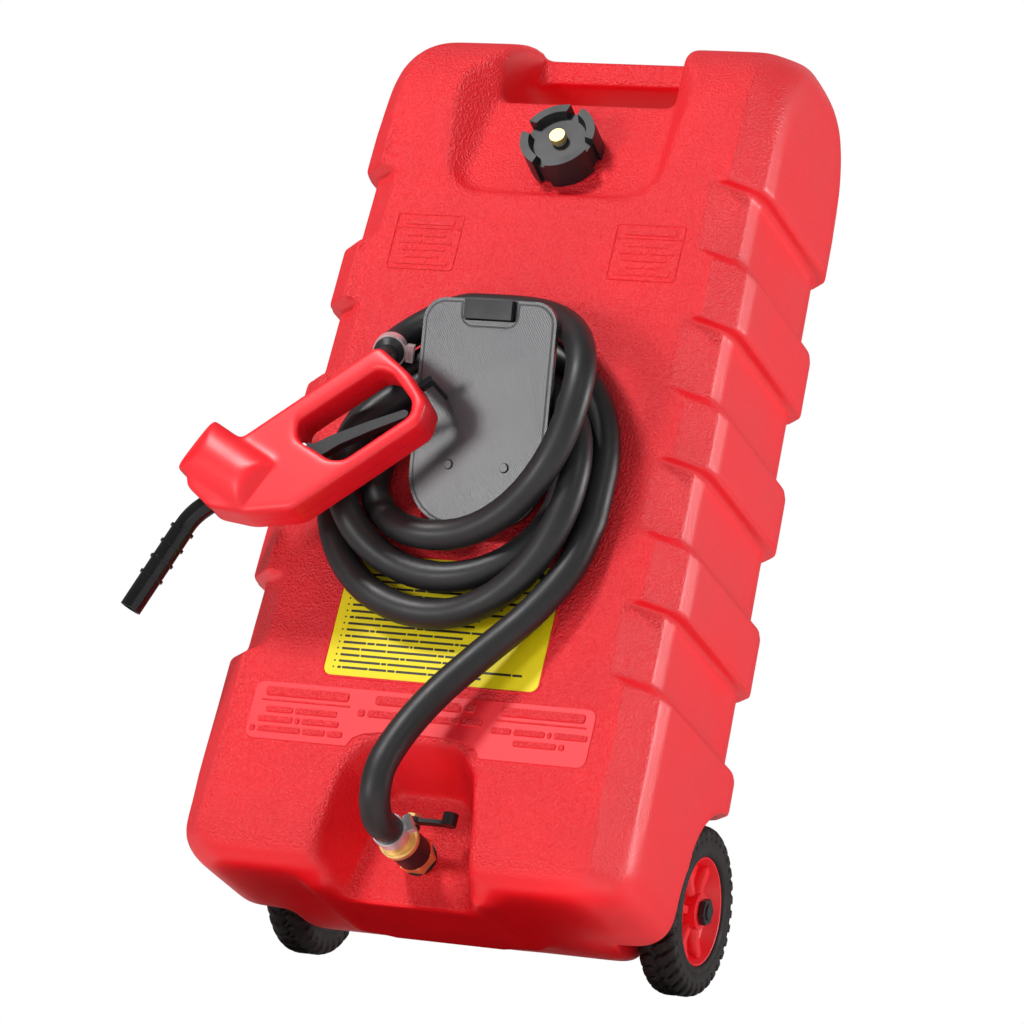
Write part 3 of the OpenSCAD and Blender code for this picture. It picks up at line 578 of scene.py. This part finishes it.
def inset(outline, d):
    """The outline moved inwards by d along the mean of each corner's two normals."""
    moved = []
    for i, (x, y) in enumerate(outline):
        before = Vector(outline[i - 1])
        after = Vector(outline[(i + 1) % len(outline)])
        one = (Vector((x, y)) - before).normalized()
        two = (after - Vector((x, y))).normalized()
        normal = Vector((-one.y - two.y, one.x + two.x)) / (1 + one.dot(two))
        moved.append((x + d * normal.x, y + d * normal.y))
    return moved


def raised(bm, place, outline, rise, edge):
    """A pad of that outline with a bevelled edge, sunk a little into what carries it."""
    steps = [(outline, -SINK), (outline, rise - edge), (inset(outline, edge), rise)]
    skirt(bm, [[place(*p, h) for p in points] for points, h in steps], False)


def framed(bm, place, outline, line, rise, edge):
    """A raised line that follows the outline inside it."""
    inner = inset(outline, line)
    steps = [(outline, -SINK), (outline, rise - edge), (inset(outline, edge), rise),
             (inset(outline, line - edge), rise), (inner, rise - edge), (inner, -SINK)]
    skirt(bm, [[place(*p, h) for p in points] for points, h in steps], True)


def spot_on(x0, z0):
    return lambda x, z, out: on_front(x0 + x, z0 + z, out)


def words(bm, x0, z0, width, height, count, rise, first=0):
    """A line of plain bars with small gaps, of unlike lengths, from x0 to the right."""
    gap = 0.45 * height
    shares = [1.0 + 0.8 * math.sin(2.4 * (first + k)) for k in range(count)]
    unit = (width - gap * (count - 1)) / sum(shares)
    x = x0
    for share in shares:
        bar = rounded(share * unit, height, min(0.3 * height, 0.45 * share * unit), 3)
        raised(bm, spot_on(x + share * unit / 2, z0), bar, rise, min(0.3 * rise, 0.2 * height))
        x += share * unit + gap


def add_marks(name, bm, material, slot):
    bmesh.ops.recalc_face_normals(bm, faces=bm.faces)
    add(name, to_mesh(name, bm, smooth=False), material, "caddy", slot)


FRAME_X = 113
FRAME_Z = 636
FRAME_W = 70
FRAME_H = 59
PANEL_Z = 153
PANEL_W = 340
PANEL_H = 57
NOTCH_HALF = 64
NOTCH_RISE = 17
NOTCH_STEPS = 8
LABEL_HALF = 107
LABEL_LOW = 193
LABEL_TOP = 314


def make_frames():
    for side, name in ((-1, "left"), (1, "right")):
        x0 = side * FRAME_X
        bm = bmesh.new()
        framed(bm, spot_on(x0, FRAME_Z), rounded(FRAME_W, FRAME_H, 4), 1.6, 1.0, 0.5)
        left, top = x0 - FRAME_W / 2, FRAME_Z + FRAME_H / 2
        words(bm, left + 9, top - 8, FRAME_W - 18, 7.5, 1, 0.9)
        rule = rounded(FRAME_W - 4, 1.4, 0.6, 2)
        raised(bm, spot_on(x0, top - 15), rule, 0.8, 0.3)
        for row, wide in enumerate((40, 56, 44, 34, 56)):
            words(bm, x0 - wide / 2, top - 22.5 - 7.4 * row, wide, 3.0, 2 + row % 2, 0.8, row)
        add_marks("raised_frame_" + name, bm, "tank_red", "tank_red")


def panel_outline():
    """The low panel, whose lower edge gives way to the valve recess."""
    points = rounded(PANEL_W, PANEL_H, 9)
    low = -PANEL_H / 2
    notch = []
    for k in range(NOTCH_STEPS + 1):
        a = math.pi * (1 - k / NOTCH_STEPS)
        notch.append((NOTCH_HALF * math.copysign(abs(math.cos(a)) ** 0.6, math.cos(a)),
                      low + NOTCH_RISE * math.sin(a) ** 0.7))
    notch[0] = (-NOTCH_HALF - 2, low)
    notch[-1] = (NOTCH_HALF + 2, low)
    cut = max(i for i, (x, z) in enumerate(points) if x < 0) + 1
    return points[:cut] + notch + points[cut:]


def make_panel():
    bm = bmesh.new()
    raised(bm, spot_on(0, PANEL_Z), panel_outline(), 0.9, 0.7)
    add_marks("low_panel", bm, "tank_smooth", "tank_red")
    bm = bmesh.new()
    top = PANEL_Z + PANEL_H / 2
    for x0, wide in ((-158, 84), (78, 82)):
        words(bm, x0, top - 10, wide, 8.5, 1, 2.4)
        words(bm, x0 - 3, top - 18.5, wide + 6, 1.4, 1, 1.8)
    words(bm, -47, top - 10, 100, 8.5, 2, 2.4, 1)
    words(bm, -62, top - 23.5, 124, 6.5, 4, 2.2, 2)
    for row, (x0, wide) in enumerate(((-154, 72), (-160, 82), (-166, 94))):
        words(bm, x0, top - 27.5 - 9.6 * row, wide, 5.6, 2 + row, 2.2, row)
    for row, (x0, wide) in enumerate(((72, 94), (96, 50))):
        words(bm, x0, top - 28.5 - 10.5 * row, wide, 5.6, 4 - 2 * row, 2.2, row)
    add_marks("low_panel_bars", bm, "tank_red", "tank_red")


def make_label():
    wide, high = 2 * LABEL_HALF, LABEL_TOP - LABEL_LOW
    middle = spot_on(0, (LABEL_TOP + LABEL_LOW) / 2)
    bm = bmesh.new()
    framed(bm, middle, rounded(wide + 5, high + 5, 10), 2.2, 0.8, 0.6)
    add_marks("label_rim", bm, "tank_red", "tank_red")
    bm = bmesh.new()
    words(bm, -86, LABEL_TOP - 9, 176, 5.5, 3, 0.12)
    for row in range(16):
        z = LABEL_TOP - 20 - 6.2 * row
        wide = 150 if 5 < row < 13 else 186
        wide *= 0.74 + 0.26 * math.sin(1.7 * row) ** 2
        if row > 2:
            dot = rounded(1.8, 1.8, 0.8, 3)
            raised(bm, spot_on(-98, z), dot, 0.12, 0.03)
        words(bm, -94, z, wide, 2.3, 5 + row % 4, 0.12, row)
    add_marks("label_print", bm, "ink", "label")


def arc(x, y, r, start, end, steps=8):
    turns = [math.radians(start + (end - start) * k / steps) for k in range(steps + 1)]
    return [(x + r * math.cos(a), y + r * math.sin(a)) for a in turns]


PLATE_AT = Vector((9, -148.5, 350))
PLATE_TILT = math.atan(0.33)
PLATE_HALF = 67
PLATE_LOW = -5
PLATE_TOP = 206
PLATE_T = 6


def on_plate(x, s, out):
    c, t = math.cos(PLATE_TILT), math.sin(PLATE_TILT)
    h = PLATE_T + out
    return (PLATE_AT + Vector((x, -t * s - c * h, c * s - t * h))) * MM


def plate_outline():
    """Front of the hose plate with the rounded notch that holds the latch."""
    w, top, low = PLATE_HALF, PLATE_TOP, PLATE_LOW
    high_r, low_r, notch_r, notch_w, notch_s = 22, 48, 8, 25, 184
    return (arc(w - high_r, top - high_r, high_r, 0, 90)
            + [(notch_w, top)] + arc(notch_w - notch_r, notch_s + notch_r, notch_r, 0, -90)
            + arc(notch_r - notch_w, notch_s + notch_r, notch_r, 270, 180) + [(-notch_w, top)]
            + arc(high_r - w, top - high_r, high_r, 90, 180)
            + arc(low_r - w, low + low_r, low_r, 180, 270)
            + arc(w - low_r, low + low_r, low_r, 270, 360))


def make_plate_face():
    bm = bmesh.new()
    raised(bm, on_plate, inset(plate_outline(), 4.2), 0.4, 0.3)
    add_marks("plate_face", bm, "plate_black", "black_plastic")
    # a thin ring of duller black, raised just inside the rim: painted shade standing in for the shadow
    # in the groove between the rim and the face
    bm = bmesh.new()
    framed(bm, on_plate, inset(plate_outline(), 2.8), 1.1, 0.12, 0.05)
    add_marks("plate_groove_shade", bm, "black_plastic", "black_plastic")


make_frames()
make_panel()
make_label()
make_plate_face()


# nozzle casing: the shells rounded as one, with a domed block, then parted at a fine seam
SEAM_Y = -0.229
SEAM = 0.0002
NOZZLE_X = -15
NOZZLE_Z = 414
NOZZLE_TURN = math.radians(139)
BLOCK_U = 182
BLOCK_V = 74
BLOCK_TURN = math.radians(22)
BLOCK_FLAT = 21
BLOCK_END = 40
SHELL_T = 0.020
BLOCK_RISE = 0.013


def dome_block(mesh):
    """Slopes both ends of the block down to the casing's face."""
    co = points_of(mesh)
    x = co[:, 0] / MM - NOZZLE_X
    z = co[:, 2] / MM - NOZZLE_Z
    u = math.cos(NOZZLE_TURN) * x - math.sin(NOZZLE_TURN) * z - BLOCK_U
    v = -math.sin(NOZZLE_TURN) * x - math.cos(NOZZLE_TURN) * z - BLOCK_V
    along = np.abs(u * math.sin(BLOCK_TURN) + v * math.cos(BLOCK_TURN))
    over = zone(along, BLOCK_FLAT, BLOCK_END)
    limit = SHELL_T + BLOCK_RISE * np.sqrt(1 - over * over)
    w = co[:, 1] - SEAM_Y
    co[:, 1] = SEAM_Y + np.clip(w, -limit, limit)
    put_points(mesh, co)


def part_shell(mesh, side, node):
    """The half of the casing on one side of the seam, closed at the cut."""
    bm = bmesh.new()
    bm.from_mesh(mesh)
    cut = bmesh.ops.bisect_plane(bm, geom=bm.verts[:] + bm.edges[:] + bm.faces[:],
                                 plane_co=(0, SEAM_Y + side * SEAM, 0), plane_no=(0, side, 0),
                                 clear_inner=True)
    edges = [e for e in cut["geom_cut"] if isinstance(e, bmesh.types.BMEdge)]
    bmesh.ops.triangle_fill(bm, edges=edges, use_beauty=True)
    bmesh.ops.recalc_face_normals(bm, faces=bm.faces)
    half = to_mesh(node, bm)
    half.set_sharp_from_angle(angle=math.radians(50))
    add(node + "_body", half, "moulded_red", "caddy", "moulded_red", node)


def make_shells():
    both = merged("nozzle_shell_front")
    back = to_mesh("casing_back", merged("nozzle_shell_back"))
    both.from_mesh(back)
    bpy.data.meshes.remove(back)
    voxel = 0.0011
    casing = through(to_mesh("casing", both), "REMESH", mode="VOXEL", voxel_size=voxel)
    dome_block(casing)
    relax(casing, 66, even)
    casing = through(casing, "DECIMATE", ratio=0.3)
    part_shell(casing, -1, "nozzle_shell_front")
    part_shell(casing, 1, "nozzle_shell_back")


make_shells()


# tyres: lathed sides with wavy grooves cut across the crown
WHEEL_AT = Vector((0.0, 0.107, 0.08))
WHEEL_R = 0.080
WHEEL_OUT = 0.209
TYRE_W = 0.038
RIM_R = 0.051
LUGS = 34
GROOVE_DEPTH = 0.0042
GROOVE_HALF = 0.0013
GROOVE_WIDER = 0.0016
GROOVE_WALL = 0.0009
WAVE = 0.0022
WAVE_TOP = 0.0017
WAVE_HALF = 0.0009


def tyre_profile():
    """Points across the tyre from its bead on the outer side to the inner one: (radius, z)."""
    w, r = TYRE_W, WHEEL_R
    side = [(RIM_R, 0.003), (RIM_R + 0.0015, 0.0012), (RIM_R + 0.004, 0.0003), (RIM_R + 0.006, 0.0),
            (RIM_R + 0.0075, 0.0006), (RIM_R + 0.009, 0.0008), (r - 0.016, 0.0003), (r - 0.012, 0.0)]
    for k in range(6):
        a = math.pi / 2 * k / 5
        side.append((r - 0.009 + 0.0085 * math.sin(a), 0.0085 - 0.0085 * math.cos(a)))
    steps = 14
    crown = [(r, 0.0095 + (w - 0.019) * k / steps) for k in range(steps + 1)]
    return side + crown + [(q, w - z) for q, z in reversed(side)]


def tread(angle, z):
    """Depth of the grooves at an angle and a place across the tyre: cross ones, wider at the
    shoulders, and a wavy one round the middle."""
    half = TYRE_W / 2
    t = (z - half) / half
    pitch = 2 * math.pi * WHEEL_R / LUGS
    lean = 0.05 * math.sin(5 * t) + 0.03 * abs(t)
    offset = math.pi / LUGS if t > 0 else 0.0
    phase = ((angle + lean + offset) * LUGS / (2 * math.pi)) % 1.0
    away = abs(phase - 0.5) * pitch
    wide = GROOVE_HALF + GROOVE_WIDER * zone(abs(t), 0.55, 0.9)
    cross = zone(away, wide + GROOVE_WALL, wide)
    middle = zone(abs(z - half - WAVE * math.sin(angle * LUGS)), WAVE_TOP, WAVE_HALF)
    return GROOVE_DEPTH * max(cross, middle)


def make_tyre(side, name):
    steps = 816
    profile = tyre_profile()
    rings = []
    for i in range(steps):
        angle = 2 * math.pi * i / steps
        ring = []
        for q, z in profile:
            depth = tread(angle, z) * zone(q, WHEEL_R - 0.0115, WHEEL_R - 0.0085)
            q -= depth
            ring.append((side * (WHEEL_OUT - z), WHEEL_AT.y + q * math.cos(angle),
                         WHEEL_AT.z + q * math.sin(angle)))
        rings.append(ring)
    bm = bmesh.new()
    skirt(bm, rings, True)
    bmesh.ops.recalc_face_normals(bm, faces=bm.faces)
    mesh = to_mesh("tyre_" + name, bm)
    add("tyre_tread_" + name, mesh, "tyre", "wheel_" + name, "tyre", "tyre_" + name)


make_tyre(-1, "left")
make_tyre(1, "right")


# rims: thin lips, a sloping well and six tapered ribs on a web, round the hub
RIM_W = 32
RIM_FACE = (TYRE_W - RIM_W * MM) / 2
RIM_PROFILE = [(9.1, -1), (15.5, -1), (17, 0.5), (17, 11.5), (18.5, 13.4), (21, 14), (41, 14), (44, 13),
               (45.6, 10.5), (48.6, 1.4), (49.2, 0.3), (50.2, 0), (51, 0.8)]
RIM_STEPS = 96
RIBS = 6
RIB_TOPS = [(14, 5.5), (30, 6.5), (48.4, 6.0)]
WEB = 14.5


def wheel_point(side, r, angle, z):
    """A point of a wheel: z millimetres inwards from the rim's outer face, r from the axle."""
    return Vector((side * (WHEEL_OUT - RIM_FACE - z * MM), WHEEL_AT.y + r * MM * math.cos(angle),
                   WHEEL_AT.z + r * MM * math.sin(angle)))


def rib_section(r, top, flip):
    """Across a rib at radius r: its half widths and heights, from the web out to its top."""
    half = 2.6 + 0.06 * r
    points = [(-half - 1, WEB), (-half, top + 1), (-half + 0.9, top), (half - 0.9, top), (half, top + 1),
              (half + 1, WEB)]
    return [(w, RIM_W - z) for w, z in points] if flip else points


def make_rim(side, name):
    bm = bmesh.new()
    profile = RIM_PROFILE + [(r, RIM_W - z) for r, z in reversed(RIM_PROFILE)]
    skirt(bm, [[wheel_point(side, r, 2 * math.pi * i / RIM_STEPS, z) for r, z in profile]
               for i in range(RIM_STEPS)], True)
    for i in range(RIBS):
        turn = 2 * math.pi * (i + 0.25) / RIBS
        for flip in (False, True):
            rings = []
            for r, top in RIB_TOPS:
                rings.append([wheel_point(side, math.hypot(r, w), turn + math.atan2(w, r), z)
                              for w, z in rib_section(r, top, flip)])
            skirt(bm, rings, False)
    bmesh.ops.recalc_face_normals(bm, faces=bm.faces)
    mesh = to_mesh("rim_" + name, bm)
    mesh.set_sharp_from_angle(angle=math.radians(35))
    add("rim_ribbed_" + name, mesh, "moulded_red", "wheel_" + name, "moulded_red", "rim_" + name)


make_rim(-1, "left")
make_rim(1, "right")


# CAD nodes that stay: finish and softened edges
def finish_node(node, material, edge):
    obj = NODES[node]
    for slot in obj.material_slots:
        slot.material = MAT[material]
    if not edge:
        return
    weld = obj.modifiers.new("weld", "WELD")
    weld.merge_threshold = 3e-6
    flat = obj.modifiers.new("flat", "DECIMATE")
    flat.decimate_type = "DISSOLVE"
    flat.angle_limit = math.radians(0.6)
    bevel = obj.modifiers.new("edge", "BEVEL")
    bevel.width = edge
    bevel.segments = 3
    bevel.limit_method = "ANGLE"
    bevel.angle_limit = math.radians(32)
    bevel.harden_normals = True
    obj.modifiers.new("normals", "WEIGHTED_NORMAL").keep_sharp = True


FINISH = {
    "black_plastic": {
        "filler_cap": 0.0009, "plate_latch": 0.0012, "valve_lever": 0.0008, "valve_body": 0.0008,
        "nozzle_trigger": 0.0012, "spout_nut": 0.0008, "nozzle_inlet": 0.0006,
        "axle_cap_left": 0.0007, "axle_cap_right": 0.0007,
    },
    "gloss_black": {"nozzle_spout": 0.0004, "nozzle_hook": 0.0012},
    "plate_black": {"hose_plate": 0.0008, "plate_screws": 0.0003},
    "seal_rubber": {"cap_gasket": 0.0, "outlet_gasket": 0.0},
    "brass": {
        "vent_stem": 0.0005, "outlet_fitting": 0.0005, "valve_collar": 0.0008, "valve_stem": 0.0,
        "lever_nut": 0.0004, "hose_barb": 0.0004, "nozzle_valve_body": 0.0,
    },
    "steel": {
        "vent_spring": 0.0, "latch_spring": 0.0, "valve_ball": 0.0,
        "hose_clamp_valve": 0.0004, "hose_clamp_nozzle": 0.0004, "nozzle_screws": 0.0003,
        "nozzle_poppet": 0.0, "nozzle_spring": 0.0, "trigger_pin": 0.0, "axle": 0.0,
        "washer_left": 0.0004, "washer_right": 0.0004,
    },
    "white_plastic": {"valve_seats": 0.0, "bush_left": 0.0, "bush_right": 0.0},
    "label": {"label": 0.0},
}
for material, nodes in FINISH.items():
    for node, edge in nodes.items():
        finish_node(node, material, edge)


# light, floor and background
MIDDLE = Vector((0, 0, 0.45))


def lamp(name, way, distance, size, power):
    data = bpy.data.lights.new(name, "AREA")
    data.shape = "DISK"
    data.size = size
    data.energy = power
    obj = bpy.data.objects.new(name, data)
    scene.collection.objects.link(obj)
    way = way.normalized()
    obj.location = MIDDLE + way * distance
    obj.rotation_mode = "QUATERNION"
    obj.rotation_quaternion = way.to_track_quat("Z", "Y")


def from_camera(right, up, near):
    return CAM_RIGHT * right + CAM_UP * up - CAM_LOOK * near


def make_light():
    lamp("key", from_camera(-0.42, 0.84, 0.34), 3.4, 0.6, 78)
    lamp("left_box", from_camera(-0.72, 0.14, 0.68), 3.4, 0.75, 26)
    lamp("fill", from_camera(0.45, 0.55, 0.72), 3.6, 1.0, 9)
    lamp("under", from_camera(0.1, -0.65, 0.7), 3.6, 2.0, 16)
    lamp("side", Vector((0.92, 0.36, 0.25)), 3.6, 1.2, 68)
    lamp("back", Vector((0.15, 0.6, 0.9)), 3.6, 2.4, 7)
    world = bpy.data.worlds.new("studio")
    scene.world = world
    world.use_nodes = True
    tree = world.node_tree
    tree.nodes.clear()
    out = tree.nodes.new("ShaderNodeOutputWorld")
    path = tree.nodes.new("ShaderNodeLightPath")
    dim = tree.nodes.new("ShaderNodeBackground")
    dim.inputs["Color"].default_value = (1, 1, 1, 1)
    dim.inputs["Strength"].default_value = 0.2
    white = tree.nodes.new("ShaderNodeBackground")
    white.inputs["Color"].default_value = (1, 1, 1, 1)
    white.inputs["Strength"].default_value = 1.0
    mix = tree.nodes.new("ShaderNodeMixShader")
    tree.links.new(path.outputs["Is Camera Ray"], mix.inputs[0])
    tree.links.new(dim.outputs[0], mix.inputs[1])
    tree.links.new(white.outputs[0], mix.inputs[2])
    tree.links.new(mix.outputs[0], out.inputs["Surface"])


def make_floor():
    bm = bmesh.new()
    bmesh.ops.create_circle(bm, cap_ends=True, radius=8.0, segments=96)
    floor = bpy.data.objects.new("floor", to_mesh("floor", bm, smooth=False))
    scene.collection.objects.link(floor)
    floor.location.z = -0.0004
    material = bpy.data.materials.new("floor_white")
    material.use_nodes = True
    tree = material.node_tree
    tree.nodes.clear()
    out = tree.nodes.new("ShaderNodeOutputMaterial")
    pale = tree.nodes.new("ShaderNodeBsdfDiffuse")
    pale.inputs["Color"].default_value = (0.9, 0.9, 0.9, 1)
    clear = tree.nodes.new("ShaderNodeBsdfTransparent")
    geometry = tree.nodes.new("ShaderNodeNewGeometry")
    path = tree.nodes.new("ShaderNodeLightPath")
    open_way = tree.nodes.new("ShaderNodeMath")
    open_way.operation = "MAXIMUM"
    tree.links.new(geometry.outputs["Backfacing"], open_way.inputs[0])
    tree.links.new(path.outputs["Is Shadow Ray"], open_way.inputs[1])
    mix = tree.nodes.new("ShaderNodeMixShader")
    tree.links.new(open_way.outputs[0], mix.inputs[0])
    tree.links.new(pale.outputs[0], mix.inputs[1])
    tree.links.new(clear.outputs[0], mix.inputs[2])
    tree.links.new(mix.outputs[0], out.inputs["Surface"])
    floor.data.materials.append(material)


make_light()
make_floor()
scene.view_settings.view_transform = "Standard"
